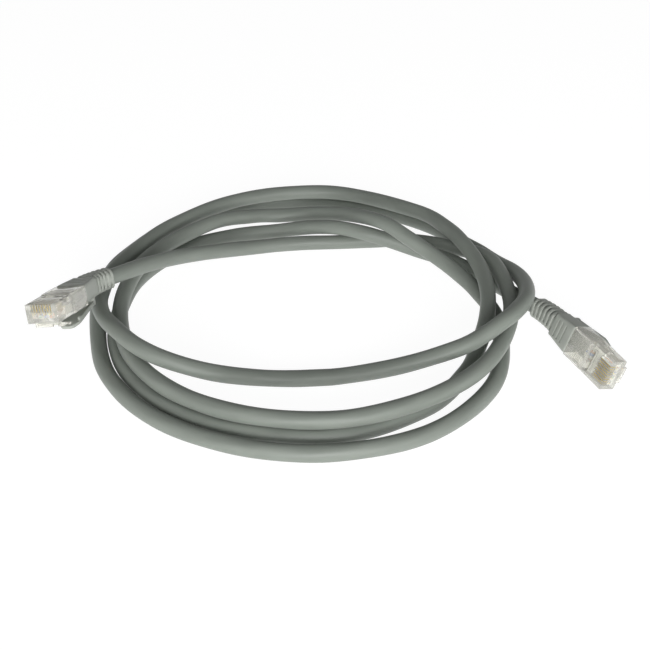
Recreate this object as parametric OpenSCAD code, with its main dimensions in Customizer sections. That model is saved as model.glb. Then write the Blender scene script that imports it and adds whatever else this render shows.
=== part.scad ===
// Ethernet patch cable: a loose hank of round data cable with an 8-position modular plug,
// a ribbed boot and a snagless latch cover on each end. Millimetres, z up, resting on z = 0.
// Each plug is drawn about its own axis: +y runs from the boot's tail to the nose, +z is the
// contact side and +x is the contact row.

/* [Cable] */
// Outside diameter of the jacket
cable_od = 6; // [5.6:0.1:6]
// Jacket wall thickness
jacket_wall = 0.6; // [0.5:0.05:0.7]
// Outside diameter of one insulated wire
wire_od = 0.9; // [0.8:0.05:0.9]
// Thickness of the cross separator's arms
separator_wall = 0.4; // [0.3:0.05:0.4]
// Size of the hank, as a multiple of the size it is drawn at
coil_scale = 1; // [1:0.01:1.2]
// Facets round the jacket
jacket_sides = 8; // [8, 10, 12]

/* [Plug] */
// Width of the plug's housing
plug_w = 11.68; // [11.58:0.01:11.78]
// Length of the plug's housing
plug_l = 21.5; // [21.2:0.1:21.8]
// Height of the housing at its nose
nose_h = 6.6; // [6.5:0.05:6.7]
// Height of the housing over the cable's jacket
rear_h = 7.2; // [7.1:0.05:7.3]
// Distance between neighbouring contacts
pitch = 1.02; // [1.02, 1.016]
// Thickness of one contact blade
blade_t = 0.35; // [0.3:0.01:0.4]
// Slope of the relaxed latch
latch_slope = 16; // [15:0.5:17]
// Length of the latch from its root to its tip
latch_l = 13.4; // [13:0.1:13.8]

/* [Boot] */
// Width of the boot's collar at the plug
collar_w = 11.4; // [11.2:0.1:11.6]
// Height of the boot's collar
collar_h = 7.7; // [7.6:0.05:7.8]
// Length of the ribbed tail
tail_l = 13; // [12:0.5:14]
// Number of ribs on the tail
rib_count = 6; // [5, 6, 7]
// Diameter of the rib next to the collar
rib_d = 9.4; // [9.3:0.1:9.6]
// Diameter of the rib at the tip
rib_tip_d = 8.6; // [8.5:0.1:8.7]
// Slope of the relaxed latch cover
hood_slope = 14.5; // [14:0.5:15.5]

/* [Hidden] */
$fn = 48;
eps = 0.01;
run_gap = 0.05;
bore_gap = 0.15;
tail_end = 13;
housing_rear = 23.5;
collar_front = housing_rear - run_gap;
nose_y = housing_rear + plug_l;
deck_y = housing_rear + 10;
jacket_end = 31.4;
fan_y = 31.6;
row_y = 34;
wire_end = 43.7;
row_z = [-0.45, -1.25];
pivot = [0, nose_y - 1, -3.9];
hood_pivot = [0, 15.5, -5.4];
hood_l = 16;
hood_w = 7.4;
sides_wire = 4;

// Each end: where the boot's tail line starts, turn about z, pitch, roll,
// and the bend of the tail with its direction about the plug's axis.
left_end = [[-78.5, 9.05, 18], 165.5, 16.9, 11.2, 32, 178];
right_end = [[85.8, 5.4, 8.45], -156, -1.5, 72, 12, 20];
// What brings the middle of the part's base to the origin.
base_shift = [-6.98, -11.07, 0];

// The cable's route outside the boots: angle round the hank, radius and height of the axis.
route = [
  [20, 67.5, 15], [34, 62.5, 11.2], [50, 59.5, 7], [66, 58.5, 4], [82, 58.5, 3],
  [100, 60, 3], [112, 65, 3], [122, 71.5, 3], [132, 77, 3.2], [141, 79.2, 5],
  [150, 79.2, 8.5], [160, 77.8, 9.6], [180, 74, 9.5], [205, 69, 9.5], [230, 64, 9.4],
  [260, 61.5, 9.3], [290, 62, 9.3], [316, 65.5, 9.4], [340, 68.5, 9.3],
  [365, 71.5, 9.5], [390, 75, 9.5], [416, 76.8, 9.4], [430, 78, 7.2], [440, 78.3, 5.5],
  [450, 77, 6.5], [460, 72.5, 9.5], [470, 66, 13.2], [480, 61, 15.2], [490, 60, 13],
  [500, 62, 9.5], [511, 65.2, 6], [522, 67.8, 3.6], [540, 70, 3], [568, 72.5, 3],
  [596, 72, 3], [624, 70, 3], [650, 70.5, 3], [675, 74, 3], [698, 77.3, 3],
  [720, 80, 3], [735, 85, 3], [750, 90, 3], [772, 94, 3], [796, 94.5, 3],
  [820, 91.5, 3], [842, 88, 3], [860, 86, 3], [870, 85.3, 4], [880, 84.5, 7.8],
  [890, 82.3, 11.8], [900, 78.8, 15.2], [908, 74, 16.4], [914, 69.4, 16.1],
  [919, 65, 14.5], [926, 58, 11.6], [942, 42.9, 6.3], [970, 32.9, 3.4], [997, 32.3, 3.1],
  [1020, 38.2, 4.4], [1033, 49.9, 9.5], [1044, 60.3, 13.9], [1052, 66.5, 16.2],
  [1061, 70.6, 16.6], [1073, 75.7, 14.3], [1085, 79.3, 11.3], [1100, 82.3, 9.6],
  [1125, 85, 9.5], [1150, 90, 9.3], [1175, 91.2, 9.2], [1200, 86, 9.5],
  [1214, 80, 10.8], [1226, 74.5, 11.5], [1238, 71, 10.6], [1250, 67.7, 9.9],
  [1262, 64.8, 7.8], [1274, 62.3, 4.3], [1288, 61.5, 3], [1310, 61.7, 3],
  [1340, 62, 3], [1370, 63, 3], [1395, 67.2, 3], [1418, 70.8, 3], [1440, 73, 3],
  [1464, 75.8, 3], [1486, 75.5, 3], [1502, 72.5, 3], [1518, 69.2, 3.5],
  [1530, 64.7, 7], [1540, 61, 9.4], [1550, 60, 9.3], [1560, 62, 7.3],
  [1570, 66.5, 4.2], [1580, 71.3, 3], [1590, 74, 3], [1600, 77.8, 3]
];

// Where each wire sits inside the jacket, by pin 1 to 8: across and up.
lay = [
  [1.83, 0], [0.92, 0], [0.48, 1.42], [0.48, -1.42],
  [-0.48, -1.42], [-0.48, 1.42], [-0.92, 0], [-1.83, 0]
];

function unit(v) = v / norm(v);

// Turning a point of an end's own frame into the shared frame.
function rot_y(p, a) = [p.x * cos(a) + p.z * sin(a), p.y, p.z * cos(a) - p.x * sin(a)];
function rot_x(p, a) = [p.x, p.y * cos(a) - p.z * sin(a), p.y * sin(a) + p.z * cos(a)];
function rot_z(p, a) = [p.x * cos(a) - p.y * sin(a), p.x * sin(a) + p.y * cos(a), p.z];
function end_at(e) = [e[0].x * coil_scale, e[0].y * coil_scale, e[0].z];
function to_world(e, p) = end_at(e) + rot_z(rot_x(rot_y(p, e[3]), e[2]), e[1]);

// A point of the bent tail's centre line, s along from the collar.
function tail_r(e) = tail_l / (e[4] * PI / 180);
function tail_pt(e, s) =
  let (r = tail_r(e), a = s / r * 180 / PI, side = r * (1 - cos(a)))
  [side * cos(e[5]), tail_end - r * sin(a), side * sin(e[5])];

function plug_pts(e, ys) = [for (y = ys) to_world(e, [0, y, 0])];
function tail_pts(e) = [for (k = [0:3]) to_world(e, tail_pt(e, tail_l * k / 3))];
function coil_pts() = [for (p = route)
  [-p[1] * cos(p[0]) * coil_scale, p[1] * sin(p[0]) * coil_scale, p[2]]];
function flip(list) = [for (k = [len(list) - 1:-1:0]) list[k]];

// The centre line from plug to plug, with the given stations inside each plug.
function line_pts(ys) = concat(
  plug_pts(left_end, ys), tail_pts(left_end), coil_pts(),
  flip(tail_pts(right_end)), flip(plug_pts(right_end, ys))
);

// The frame along the line: level across, turned by a roll that runs from plug to plug.
function tangent(c, k) = unit(c[min(k + 1, len(c) - 1)] - c[max(k - 1, 0)]);
function roll_at(k, n, m) =
  let (a = left_end[3], b = 180 - right_end[3], u = (k - m) / (n - 1 - 2 * m))
  a + (b - a) * min(1, max(0, u));
function across(t, roll) =
  let (u = unit(cross(t, [0, 0, 1])), v = cross(u, t)) cos(roll) * u + sin(roll) * v;
function ring(c, k, m, shape) =
  let (t = tangent(c, k), a = across(t, roll_at(k, len(c), m)), b = cross(a, t))
  [for (q = shape) c[k] + q.x * a + q.y * b];

function round_shape(r, n, at = [0, 0]) =
  [for (k = [0:n - 1]) at + r * [cos(360 * (k + 0.5) / n), sin(360 * (k + 0.5) / n)]];
function sheet(n, rings, base, out) = [for (k = [0:rings - 2], j = [0:n - 1])
  let (a = base + k * n + j, b = base + k * n + (j + 1) % n, c = a + n, d = b + n)
  each out ? [[a, b, d], [a, d, c]] : [[a, d, b], [a, c, d]]];
function cap(n, at, first) = [first ? [for (j = [n - 1:-1:0]) at + j]
                                    : [for (j = [0:n - 1]) at + j]];

// A closed rod whose section may move from ring to ring.
module rod(c, m, shapes) {
  n = len(shapes[0]);
  pts = [for (k = [0:len(c) - 1]) each ring(c, k, m, shapes[k])];
  polyhedron(pts, concat(sheet(n, len(c), 0, true), cap(n, 0, true),
    cap(n, n * (len(c) - 1), false)), convexity = 20);
}

// A hollow tube with a flat ring at each end.
module tube(c, m, r_out, r_in, n) {
  rings = len(c);
  outer = [for (k = [0:rings - 1]) each ring(c, k, m, round_shape(r_out, n))];
  inner = [for (k = [0:rings - 1]) each ring(c, k, m, round_shape(r_in, n))];
  off = n * rings;
  last = n * (rings - 1);
  ends = [for (j = [0:n - 1]) let (i = (j + 1) % n) each [
    [j, off + i, i], [j, off + j, off + i],
    [last + j, last + i, off + last + i], [last + j, off + last + i, off + last + j]]];
  polyhedron(concat(outer, inner),
    concat(sheet(n, rings, 0, true), sheet(n, rings, off, false), ends), convexity = 20);
}

jacket_ys = [jacket_end, 22, 17];
wire_ys = [wire_end, 39, row_y, fan_y, 22, 17];

module cable_jacket() {
  color([0.42, 0.44, 0.42])
    tube(line_pts(jacket_ys), len(jacket_ys) + 1, cable_od / 2,
      cable_od / 2 - jacket_wall, jacket_sides);
}

function star(r, w) = [for (k = [0:3]) let (a = 90 * k) each [
  [w * sqrt(0.5) * cos(a) * 1, w * sqrt(0.5) * sin(a) * 1],
  [r * cos(a + 45) + w / 2 * sin(a + 45), r * sin(a + 45) - w / 2 * cos(a + 45)],
  [r * cos(a + 45) - w / 2 * sin(a + 45), r * sin(a + 45) + w / 2 * cos(a + 45)]]];

module cross_separator() {
  c = line_pts(jacket_ys);
  s = star(cable_od / 2 - jacket_wall - 0.2, separator_wall);
  color([0.92, 0.92, 0.9]) rod(c, len(jacket_ys) + 1, [for (k = c) s]);
}

// One insulated wire, pin 1 to 8, from the contacts of one plug to those of the other.
module wire(pin, tint) {
  c = line_pts(wire_ys);
  n = len(c);
  x = (pin - 4.5) * pitch;
  z = row_z[(pin + 1) % 2];
  here = lay[pin - 1];
  first = [-x, z];
  final = [-x, -z];
  at = [for (k = [0:n - 1]) k < 3 ? first : k > n - 4 ? final : here];
  color(tint) rod(c, len(wire_ys) + 1,
    [for (k = [0:n - 1]) round_shape(wire_od / 2, sides_wire, at[k])]);
}

module place(e) {
  translate(end_at(e)) rotate([0, 0, e[1]]) rotate([e[2], 0, 0]) rotate([0, e[3], 0])
    children();
}

module bar(x, y, z) {
  translate([-x, y[0], z[0]]) cube([2 * x, y[1] - y[0], z[1] - z[0]]);
}

module across_pin(r, w) {
  rotate([0, 90, 0]) cylinder(r = r, h = w, center = true);
}

module housing() {
  color([0.9, 0.9, 0.84, 0.5]) difference() {
    union() {
      bar(plug_w / 2, [housing_rear, deck_y], [-rear_h / 2, rear_h / 2]);
      bar(plug_w / 2, [deck_y - eps, nose_y], [-nose_h / 2, nose_h / 2]);
      bar(3.2, [pivot.y, nose_y], [-4.7, -nose_h / 2 + eps]);
    }
    // pocket for the jacket
    bar(4.8, [housing_rear - 1, 32.8], [-3.15, 3.15]);
    // pocket for the wire guide
    bar(4.75, [32.7, 38.7], [-2.3, 0.6]);
    // slot for the wires' ends
    bar(4.15, [38.6, 43.9], [-1.8, 0.1]);
    // window for the crimp bar
    bar(4.45, [28.6, 31.2], [3, rear_h]);
    // recess over the wires' strain relief
    bar(4.2, [35, 36.6], [1.4, nose_h]);
    // slots for the contact blades, open at the nose
    for (k = [0:7]) translate([(k - 3.5) * pitch, 0, 0]) {
      bar(blade_t / 2 + run_gap, [38.8, 44.4], [-1.3, nose_h]);
      bar(blade_t / 2 + run_gap, [44.3, nose_y + 1], [0.6, nose_h]);
    }
    // socket for the latch's root
    translate(pivot) across_pin(0.55 + run_gap, 2 * 2.6);
    translate([0, pivot.y, pivot.z]) bar(2.6, [-2, 0], [-2, 0.55 + run_gap]);
  }
}

module blades() {
  color([0.83, 0.68, 0.3]) for (k = [0:7]) translate([(k - 3.5) * pitch, 0, 0])
    difference() {
      bar(blade_t / 2, [39.2, 44.3], [row_z[k % 2] + wire_od / 2 + 0.05, nose_h / 2 - 0.45]);
      // notch between the blade's two teeth
      bar(blade_t, [41, 42.4], [-2, row_z[k % 2] + wire_od / 2 + 0.6]);
    }
}

module guide() {
  color([0.86, 0.88, 0.9]) difference() {
    bar(4.7, [33.9, 38.55], [-2.25, 0.55]);
    for (k = [0:7]) translate([(k - 3.5) * pitch, 0, row_z[k % 2]])
      rotate([-90, 0, 0]) cylinder(r = wire_od / 2 + run_gap, h = 60);
  }
}

module crimp_bar() {
  color([0.9, 0.9, 0.84, 0.6]) difference() {
    bar(4.35, [28.7, 31.1], [3.05, 3.5]);
    for (k = [0:2]) bar(4.6, [29.1 + 0.7 * k, 29.35 + 0.7 * k], [3.3, 4]);
  }
}

// Drawn level, with its root on the x axis; the arm runs along -y.
module latch_level() {
  difference() {
    union() {
      across_pin(0.55, 5);
      bar(1.65, [-5.4, 0], [-0.45, 0.45]);
      bar(3, [-8.2, -5.2], [-0.45, 0.45]);
      bar(2.3, [-latch_l, -8.1], [-0.45, 0.45]);
      // catch shoulders
      for (s = [-1, 1]) translate([s * 2.35, 0, 0])
        bar(0.65, [-8.2, -5.2], [-0.95, 0.45]);
    }
    // finger groove near the tip
    translate([0, -latch_l + 1.6, -0.6]) across_pin(0.35, 10);
  }
}

module latch() {
  color([0.9, 0.9, 0.84, 0.6])
    translate(pivot) rotate([latch_slope, 0, 0]) latch_level();
}

// The cover seen level: its root on the x axis, the plate running along +y.
module hood_level() {
  across_pin(0.7, hood_w);
  translate([0, 0, -0.55]) linear_extrude(1.1) polygon([
    [-hood_w / 2, 0], [hood_w / 2, 0], [hood_w / 2, 12.2], [hood_w / 2 - 0.7, 14.2],
    [2.5, hood_l - 0.4], [1.2, hood_l], [-1.2, hood_l], [-2.5, hood_l - 0.4],
    [-hood_w / 2 + 0.7, 14.2], [-hood_w / 2, 12.2]
  ]);
  // cheeks beside the latch's tip
  for (s = [-1, 1]) translate([s * (hood_w / 2 - 0.4) - 0.4, 0, 0])
    rotate([90, 0, 90]) linear_extrude(0.8) polygon([
      [1.5, 0], [12.2, 0], [12.2, 1.4], [11.4, 1.8], [10.4, 1.25], [1.5, 0.85]
    ]);
  // grip bars under the cover
  for (k = [0:3]) bar(hood_w / 2 - 1, [5 + 2.4 * k, 6 + 2.4 * k], [-0.85, -0.5]);
}

module hood() {
  color([0.4, 0.42, 0.4])
    translate(hood_pivot) rotate([-hood_slope, 0, 0]) hood_level();
}

// Carries its children to a point of the tail's arc, s along from the collar.
module on_tail(e, s) {
  r = tail_r(e);
  translate([0, tail_end, 0]) rotate([0, -e[5], 0]) translate([r, 0, 0])
    rotate([0, 0, s / r * 180 / PI]) translate([-r, 0, 0]) rotate([0, e[5], 0])
      children();
}

// A slab square to the y axis, with rounder corners on the latch side.
module slab(w, h, y, t) {
  for (i = [-1, 1], c = [[1, 1], [-1, 2.4]])
    translate([i * (w / 2 - c[1]), y, c[0] * (h / 2 - c[1])]) rotate([-90, 0, 0])
      cylinder(r = c[1], h = t, $fn = 24);
}

// A rib with a round outline and four flats.
module rib(d, t) {
  rotate([90, 0, 0]) intersection() {
    cylinder(d = d, h = t);
    translate([-d * 0.43, -d * 0.43, 0]) cube([d * 0.86, d * 0.86, t]);
  }
}

module boot(e) {
  r = tail_r(e);
  step = tail_l / rib_count;
  color([0.4, 0.42, 0.4]) difference() {
    union() {
      // collar behind the plug, wider at the plug
      hull() {
        slab(collar_w, collar_h, collar_front - 1, 1);
        slab(rib_d, collar_h, tail_end, 1);
      }
      // seat of the latch cover's root
      bar(hood_w / 2, [14.2, hood_pivot.y], [-6.2, -collar_h / 2 + 0.6]);
      // core of the tail
      translate([0, tail_end, 0]) rotate([0, -e[5], 0]) translate([r, 0, 0])
        rotate([0, 0, 180]) rotate_extrude(angle = e[4] * 0.95) translate([r, 0])
          circle(r = cable_od / 2 + 0.6);
      // ribs
      for (k = [0:rib_count - 1]) on_tail(e, k * step + step * 0.45)
        rib(rib_d + (rib_tip_d - rib_d) * k / (rib_count - 1), step * 0.55);
      // root of the tail, into the collar
      translate([0, tail_end - 0.5, 0]) rotate([-90, 0, 0])
        cylinder(r = cable_od / 2 + 0.7, h = 3);
    }
    // bore for the cable
    translate([0, tail_end - 0.1, 0]) rotate([-90, 0, 0])
      cylinder(r = cable_od / 2 + bore_gap + 0.05, h = 40);
    translate([0, tail_end, 0]) rotate([0, -e[5], 0]) translate([r, 0, 0])
      rotate([0, 0, 179]) rotate_extrude(angle = e[4] + 3) translate([r, 0])
        circle(r = cable_od / 2 + bore_gap);
    // grip grooves on the contact side
    for (y = [15.2, 17.3, 19.4])
      bar(3.4, [y, y + 0.8], [collar_h / 2 - 0.35, collar_h]);
    // socket for the latch cover's root
    translate(hood_pivot) across_pin(0.7 + run_gap, 12);
  }
}

translate(base_shift) {
  cable_jacket();
  cross_separator();
  wire(1, [0.95, 0.8, 0.65]);  // wire_1_white_orange
  wire(2, [0.9, 0.45, 0.1]);  // wire_2_orange
  wire(3, [0.8, 0.92, 0.8]);  // wire_3_white_green
  wire(4, [0.15, 0.3, 0.7]);  // wire_4_blue
  wire(5, [0.78, 0.84, 0.95]);  // wire_5_white_blue
  wire(6, [0.15, 0.55, 0.25]);  // wire_6_green
  wire(7, [0.88, 0.8, 0.74]);  // wire_7_white_brown
  wire(8, [0.42, 0.26, 0.16]);  // wire_8_brown
  place(left_end) housing();  // left_plug_housing
  place(left_end) latch();  // left_latch
  place(left_end) blades();  // left_contact_blades
  place(left_end) guide();  // left_wire_guide
  place(left_end) crimp_bar();  // left_crimp_bar
  place(left_end) boot(left_end);  // left_boot
  place(left_end) hood();  // left_latch_cover
  place(right_end) housing();  // right_plug_housing
  place(right_end) latch();  // right_latch
  place(right_end) blades();  // right_contact_blades
  place(right_end) guide();  // right_wire_guide
  place(right_end) crimp_bar();  // right_crimp_bar
  place(right_end) boot(right_end);  // right_boot
  place(right_end) hood();  // right_latch_cover
}
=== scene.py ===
import math

import bmesh
import bpy
from bpy.props import (
    FloatProperty,
    FloatVectorProperty,
    IntProperty,
    PointerProperty,
)
from mathutils import Matrix, Vector


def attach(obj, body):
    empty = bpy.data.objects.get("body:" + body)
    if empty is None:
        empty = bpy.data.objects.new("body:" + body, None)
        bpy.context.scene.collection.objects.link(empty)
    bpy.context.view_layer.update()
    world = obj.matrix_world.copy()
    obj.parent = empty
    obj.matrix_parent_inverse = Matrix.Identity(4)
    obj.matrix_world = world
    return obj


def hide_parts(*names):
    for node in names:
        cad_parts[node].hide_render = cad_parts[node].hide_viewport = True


bl_info = {
    "name": "Ethernet Patch Cable",
    "version": (1, 0, 0),
    "blender": (4, 5, 0),
    "location": "3D View > Sidebar > Patch Cable",
    "description": "A loose hank of data cable with a modular plug, boot and cover on each end",
    "category": "Object",
}

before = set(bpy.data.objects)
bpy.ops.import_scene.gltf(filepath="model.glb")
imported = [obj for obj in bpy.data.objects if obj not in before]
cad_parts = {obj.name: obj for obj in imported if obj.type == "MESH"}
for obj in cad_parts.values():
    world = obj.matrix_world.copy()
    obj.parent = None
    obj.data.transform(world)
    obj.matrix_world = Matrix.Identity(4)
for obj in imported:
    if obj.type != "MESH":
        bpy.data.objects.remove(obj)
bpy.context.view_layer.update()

MM = 0.001
TINY = 1e-12

# Where each plug stands, in millimetres and degrees: the start of the boot's tail line,
# the plug's turn about z, its pitch and its roll, then the tail's bend and its direction.
LEFT = {"start": (-78.5, 9.05, 18), "turn": 165.5, "pitch": 16.9, "roll": 11.2,
        "bend": 32, "facing": 178}
RIGHT = {"start": (85.8, 5.4, 8.45), "turn": -156, "pitch": -1.5, "roll": 72,
         "bend": 12, "facing": 20}
ENDS = {"left": LEFT, "right": RIGHT}
BASE_SHIFT = Vector((-6.98, -11.07, 0))

# The cable's route outside the boots: angle round the hank, radius and height, mm.
ROUTE = (
    (20, 67.5, 15), (34, 62.5, 11.2), (50, 59.5, 7), (66, 58.5, 4), (82, 58.5, 3),
    (100, 60, 3), (112, 65, 3), (122, 71.5, 3), (132, 77, 3.2), (141, 79.2, 5),
    (150, 79.2, 8.5), (160, 77.8, 9.6), (180, 74, 9.5), (205, 69, 9.5), (230, 64, 9.4),
    (260, 61.5, 9.3), (290, 62, 9.3), (316, 65.5, 9.4), (340, 68.5, 9.3),
    (365, 71.5, 9.5), (390, 75, 9.5), (416, 76.8, 9.4), (430, 78, 7.2), (440, 78.3, 5.5),
    (450, 77, 6.5), (460, 72.5, 9.5), (470, 66, 13.2), (480, 61, 15.2), (490, 60, 13),
    (500, 62, 9.5), (511, 65.2, 6), (522, 67.8, 3.6), (540, 70, 3), (568, 72.5, 3),
    (596, 72, 3), (624, 70, 3), (650, 70.5, 3), (675, 74, 3), (698, 77.3, 3),
    (720, 80, 3), (735, 85, 3), (750, 90, 3), (772, 94, 3), (796, 94.5, 3),
    (820, 91.5, 3), (842, 88, 3), (860, 86, 3), (870, 85.3, 4), (880, 84.5, 7.8),
    (890, 82.3, 11.8), (900, 78.8, 15.2), (908, 74, 16.4), (914, 69.4, 16.1),
    (919, 65, 14.5), (926, 58, 11.6), (942, 42.9, 6.3), (970, 32.9, 3.4), (997, 32.3, 3.1),
    (1020, 38.2, 4.4), (1033, 49.9, 9.5), (1044, 60.3, 13.9), (1052, 66.5, 16.2),
    (1061, 70.6, 16.6), (1073, 75.7, 14.3), (1085, 79.3, 11.3), (1100, 82.3, 9.6),
    (1125, 85, 9.5), (1150, 90, 9.3), (1175, 91.2, 9.2), (1200, 86, 9.5),
    (1214, 80, 10.8), (1226, 74.5, 11.5), (1238, 71, 10.6), (1250, 67.7, 9.9),
    (1262, 64.8, 7.8), (1274, 62.3, 4.3), (1288, 61.5, 3), (1310, 61.7, 3),
    (1340, 62, 3), (1370, 63, 3), (1395, 67.2, 3), (1418, 70.8, 3), (1440, 73, 3),
    (1464, 75.8, 3), (1486, 75.5, 3), (1502, 72.5, 3), (1518, 69.2, 3.5),
    (1530, 64.7, 7), (1540, 61, 9.4), (1550, 60, 9.3), (1560, 62, 7.3),
    (1570, 66.5, 4.2), (1580, 71.3, 3), (1590, 74, 3), (1600, 77.8, 3),
)

# Where each wire sits inside the jacket, by pin 1 to 8: across and up, mm.
LAY = (
    (1.83, 0), (0.92, 0), (0.48, 1.42), (0.48, -1.42),
    (-0.48, -1.42), (-0.48, 1.42), (-0.92, 0), (-1.83, 0),
)
WIRES = (
    "wire_1_white_orange", "wire_2_orange", "wire_3_white_green", "wire_4_blue",
    "wire_5_white_blue", "wire_6_green", "wire_7_white_brown", "wire_8_brown",
)
# The wires' ends lie in two rows, odd pins in the first: each row's height, mm.
ROW_HEIGHT = (-0.45, -1.25)
MIDDLE_PIN = 4.5

# Places along a plug's own y axis, from its tail to its nose, mm.
TAIL_END = 13
HOUSING_REAR = 23.5
COLLAR_FRONT = HOUSING_REAR - 0.05
JACKET_END = 31.4
JACKET_STATIONS = (JACKET_END, 22, 17)
GUIDE_REAR = 33.9
GUIDE_FRONT = 39
DECK = HOUSING_REAR + 10
WIRE_TIP = 43.7
NOSE = 45

# Where the latch and its cover turn, in the plug's own millimetres.
LATCH_PIVOT = (0, NOSE - 1, -3.9)
COVER_PIVOT = (0, 15.5, -5.4)

# How finely lines are drawn: steps from station to station, the gap between the points of
# the finished line in mm, and steps along a boot's tail and along a wire's way out.
LINE_STEPS = 12
LINE_GAP = 2.2
TAIL_STEPS = 3
FAN_STEPS = 6

# An edge with a larger angle than this is rounded.
SHARP_ANGLE = math.radians(28)


# ---------------------------------------------------------------- sizes and colours


class CableSizes(bpy.types.PropertyGroup):
    """Sizes of the data cable"""

    diameter: FloatProperty(
        name="Jacket diameter", description="Outside diameter of the jacket",
        default=0.006, min=0.0056, max=0.006, unit="LENGTH", precision=4)
    wall: FloatProperty(
        name="Jacket wall", description="Thickness of the jacket",
        default=0.0006, min=0.0005, max=0.0007, unit="LENGTH", precision=5)
    wire: FloatProperty(
        name="Wire diameter", description="Outside diameter of one insulated wire",
        default=0.0009, min=0.0008, max=0.0009, unit="LENGTH", precision=5)
    copper: FloatProperty(
        name="Copper diameter", description="Diameter of the copper inside each wire",
        default=0.00051, min=0.0004, max=0.00058, unit="LENGTH", precision=5)
    separator: FloatProperty(
        name="Separator arm", description="Thickness of the cross separator's arms",
        default=0.0004, min=0.0003, max=0.0004, unit="LENGTH", precision=5)
    ripple: FloatProperty(
        name="Ripple", description="How far the twisted pairs show through the jacket",
        default=0.00005, min=0, max=0.0001, unit="LENGTH", precision=6)
    lay_length: FloatProperty(
        name="Lay length", description="Length of cable in which the pairs turn once",
        default=0.11, min=0.06, max=0.2, unit="LENGTH")
    sides: IntProperty(
        name="Sides", description="Facets round the jacket", default=24, min=12, max=32)


class PlugSizes(bpy.types.PropertyGroup):
    """Sizes of the modular plug"""

    width: FloatProperty(
        name="Width", description="Width of the plug's housing",
        default=0.01168, min=0.01158, max=0.01178, unit="LENGTH", precision=5)
    nose_height: FloatProperty(
        name="Nose height", description="Height of the housing at its nose",
        default=0.0066, min=0.0065, max=0.0067, unit="LENGTH", precision=4)
    rear_height: FloatProperty(
        name="Rear height", description="Height of the housing over the cable's jacket",
        default=0.0072, min=0.0071, max=0.0073, unit="LENGTH", precision=4)
    pitch: FloatProperty(
        name="Contact pitch", description="Distance between neighbouring contacts",
        default=0.00102, min=0.00101, max=0.00102, unit="LENGTH", precision=5)
    blade: FloatProperty(
        name="Blade thickness", description="Thickness of one contact blade",
        default=0.00035, min=0.0003, max=0.0004, unit="LENGTH", precision=5)
    latch_slope: FloatProperty(
        name="Latch slope", description="Slope of the relaxed latch",
        default=math.radians(16), min=math.radians(15), max=math.radians(17),
        unit="ROTATION")
    latch_length: FloatProperty(
        name="Latch length", description="Length of the latch from root to tip",
        default=0.0134, min=0.013, max=0.0138, unit="LENGTH", precision=4)
    edge: FloatProperty(
        name="Edge rounding", description="Rounding of the moulded edges",
        default=0.0002, min=0.0001, max=0.0003, unit="LENGTH", precision=5)


class BootSizes(bpy.types.PropertyGroup):
    """Sizes of the boot and its latch cover"""

    collar_width: FloatProperty(
        name="Collar width", description="Width of the collar at the plug",
        default=0.0114, min=0.0112, max=0.0116, unit="LENGTH", precision=4)
    collar_height: FloatProperty(
        name="Collar height", description="Height of the boot's collar",
        default=0.0077, min=0.0076, max=0.0078, unit="LENGTH", precision=5)
    tail_length: FloatProperty(
        name="Tail length", description="Length of the ribbed tail",
        default=0.013, min=0.012, max=0.014, unit="LENGTH", precision=4)
    ribs: IntProperty(
        name="Ribs", description="Number of ribs on the tail", default=6, min=5, max=7)
    first_rib: FloatProperty(
        name="First rib", description="Diameter of the rib next to the collar",
        default=0.0094, min=0.0093, max=0.0096, unit="LENGTH", precision=4)
    last_rib: FloatProperty(
        name="Last rib", description="Diameter of the rib at the tip",
        default=0.0086, min=0.0085, max=0.0087, unit="LENGTH", precision=4)
    cover_slope: FloatProperty(
        name="Cover slope", description="Slope of the relaxed latch cover",
        default=math.radians(14.5), min=math.radians(14), max=math.radians(15.5),
        unit="ROTATION")


def colour(title, about, value):
    """A colour setting shown as a swatch."""
    return FloatVectorProperty(
        name=title, description=about, subtype="COLOR", size=3, min=0, max=1, default=value)


class CableColours(bpy.types.PropertyGroup):
    """Colours of the pieces"""

    jacket: colour("Jacket", "Grey of the cable's jacket", (0.178, 0.198, 0.174))
    boot: colour("Boot", "Grey of the boots and covers", (0.31, 0.327, 0.296))
    clear: colour("Plug", "Tint of the clear housings", (0.985, 0.98, 0.92))
    guide: colour("Guide", "Tint of the wire guides", (0.90, 0.90, 0.88))
    gold: colour("Gold", "Plating of the contacts", (1.0, 0.77, 0.2))
    copper: colour("Copper", "Bare copper of the wires' ends", (0.78, 0.39, 0.25))
    white: colour("White", "White insulation", (0.80, 0.79, 0.76))
    orange: colour("Orange", "Orange insulation", (0.72, 0.24, 0.04))
    green: colour("Green", "Green insulation", (0.04, 0.28, 0.10))
    blue: colour("Blue", "Blue insulation", (0.03, 0.12, 0.50))
    brown: colour("Brown", "Brown insulation", (0.20, 0.09, 0.05))
    separator: colour("Separator", "Plastic of the cross separator", (0.78, 0.78, 0.74))


class PatchCable(bpy.types.PropertyGroup):
    """Everything that can be set on the patch cable"""

    cable: PointerProperty(type=CableSizes, name="Cable", description="Cable sizes")
    plug: PointerProperty(type=PlugSizes, name="Plug", description="Plug sizes")
    boot: PointerProperty(type=BootSizes, name="Boot", description="Boot sizes")
    colours: PointerProperty(type=CableColours, name="Colours", description="Colours")
    world_light: FloatProperty(
        name="Room light", description="Strength of the even light in the room",
        default=0.2, min=0, max=2)
    world_shine: FloatProperty(
        name="Room shine", description="Strength of the room in gloss and clear plastic",
        default=0.45, min=0, max=2)
    front_light: FloatProperty(
        name="Front light", description="Power of the soft lamp in front, in watts",
        default=8.5, min=0, max=20)
    side_light: FloatProperty(
        name="Side light", description="Power of each soft lamp at the side, in watts",
        default=1.0, min=0, max=20)
    lens: FloatProperty(
        name="Lens", description="Focal length of the camera on a 36 mm sensor",
        default=57.6, min=20, max=200)


# ---------------------------------------------------------------- the line of the cable


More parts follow.
